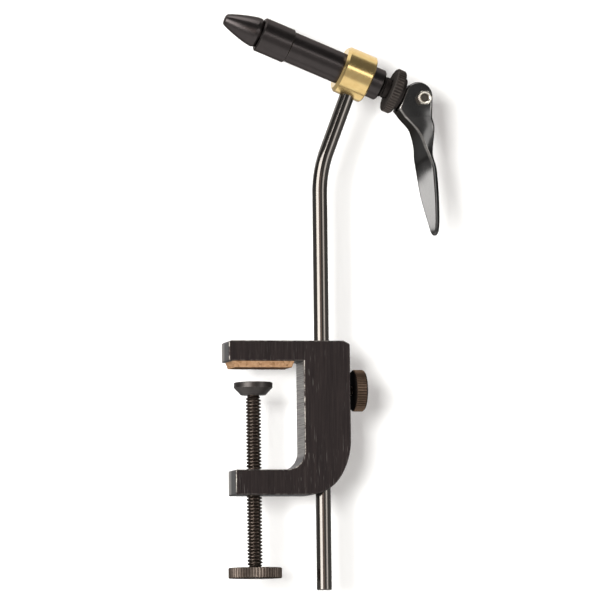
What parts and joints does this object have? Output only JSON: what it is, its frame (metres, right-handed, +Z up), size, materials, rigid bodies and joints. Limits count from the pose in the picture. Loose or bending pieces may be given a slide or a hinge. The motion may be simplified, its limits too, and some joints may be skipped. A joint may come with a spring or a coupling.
{
  "type": "hook-holding bench vise",
  "caption": "Small bench vise: a cam lever draws a tapered collet nose shut on a tilted barrel, on a bent stem held in a C-clamp with cork pad and thumbwheel screw.",
  "frame": {"origin": "on the clamp screw's axis, at the underside of the cork, where the table top lies", "axes": "+Z up along the straight stem, +X from the clamp's mouth to its spine, +Y away from the picture's camera"},
  "size_m": [0.1166, 0.028, 0.3024],
  "materials": {
    "browned_steel_bar": "browned bar with upright grinding lines",
    "cork": "bare pressed cork",
    "browned_screw_steel": "browned, satin",
    "knurled_steel": "browned, worn bright on the knurl",
    "blackened_pad_steel": "blackened, satin",
    "brass": "turned and polished",
    "polished_black_steel": "polished and blackened",
    "gun_black_steel": "gun black, satin",
    "plain_rod_steel": "plain turned steel",
    "spring_wire": "drawn wire",
    "knurled_black_steel": "gun black, knurled rim",
    "gloss_black_lever": "gloss black",
    "nickel_plate": "bright nickel"
  },
  "bodies": {
    "clamp": {"clamp_frame": "browned_steel_bar", "cork_pad": "cork"},
    "swivel_pad": {"swivel_pad": "blackened_pad_steel"},
    "clamp_screw": {"clamp_screw": "browned_screw_steel", "clamp_thumbwheel": "knurled_steel"},
    "lock_shoe": {"lock_shoe": "brass"},
    "lock_screw": {"lock_screw": "browned_screw_steel", "lock_knob": "knurled_steel"},
    "stem_post": {"stem_post": "polished_black_steel"},
    "head": {"stem_neck": "polished_black_steel", "head_collar": "brass", "barrel": "gun_black_steel", "collet_sleeve": "gun_black_steel", "return_spring": "spring_wire"},
    "adjuster": {"adjuster": "knurled_black_steel"},
    "draw_rod": {"draw_rod": "plain_rod_steel", "pivot_bolt": "nickel_plate", "pivot_nut": "nickel_plate"},
    "cam_lever": {"cam_lever": "gloss_black_lever"},
    "jaw_front": {"jaw_front": "gun_black_steel"},
    "jaw_back": {"jaw_back": "gun_black_steel"}
  },
  "joints": [
    {"name": "clamp_travel", "type": "slide", "parent": "clamp", "child": "swivel_pad", "axis": [0, 0, 1], "range_m": [-0.0385, 0.0068]},
    {"name": "clamp_turn", "type": "hinge", "parent": "swivel_pad", "child": "clamp_screw", "pos_m": [0, 0, -0.06], "axis": [0, 0, 1], "range_deg": [-7876, 1391.9]},
    {"name": "lock_travel", "type": "slide", "parent": "clamp", "child": "lock_shoe", "axis": [1, 0, 0], "range_m": [0, 0.002]},
    {"name": "lock_turn", "type": "hinge", "parent": "lock_shoe", "child": "lock_screw", "pos_m": [0.045, 0, -0.0115], "axis": [1, 0, 0], "range_deg": [0, 721]},
    {"name": "stem_height", "type": "slide", "parent": "clamp", "child": "stem_post", "axis": [0, 0, 1], "range_m": [-0.05, 0.05]},
    {"name": "stem_swivel", "type": "hinge", "parent": "stem_post", "child": "head", "pos_m": [0.0369, 0, 0.09], "axis": [0, 0, 1], "continuous": true},
    {"name": "adjuster_turn", "type": "hinge", "parent": "head", "child": "adjuster", "pos_m": [0.07518, 0, 0.14792], "axis": [0.9265, 0, -0.3762], "range_deg": [-360, 360]},
    {"name": "draw_slide", "type": "slide", "parent": "head", "child": "draw_rod", "axis": [-0.9265, 0, 0.3762], "range_m": [0, 0.00201], "deforming": ["return_spring"]},
    {"name": "cam_open", "type": "hinge", "parent": "draw_rod", "child": "cam_lever", "pos_m": [0.09214, 0, 0.14265], "axis": [0, -1, 0], "range_deg": [0, 100]},
    {"name": "jaw_front_open", "type": "hinge", "parent": "draw_rod", "child": "jaw_front", "pos_m": [0.02811, 0, 0.16703], "axis": [0.3762, 0, 0.9265], "range_deg": [0, 1.2]},
    {"name": "jaw_back_open", "type": "hinge", "parent": "draw_rod", "child": "jaw_back", "pos_m": [0.02811, 0, 0.16703], "axis": [-0.3762, 0, -0.9265], "range_deg": [0, 1.2]}
  ],
  "couplings": [
    {"joint": "clamp_turn", "follows": "clamp_travel", "rad_per_m": 3570},
    {"joint": "lock_turn", "follows": "lock_travel", "rad_per_m": 6283.2},
    {"joint": "draw_slide", "follows": "cam_open", "m_per_rad": 0.0011459},
    {"joint": "jaw_front_open", "follows": "cam_open", "ratio": 0.012},
    {"joint": "jaw_back_open", "follows": "cam_open", "ratio": 0.012}
  ]
}
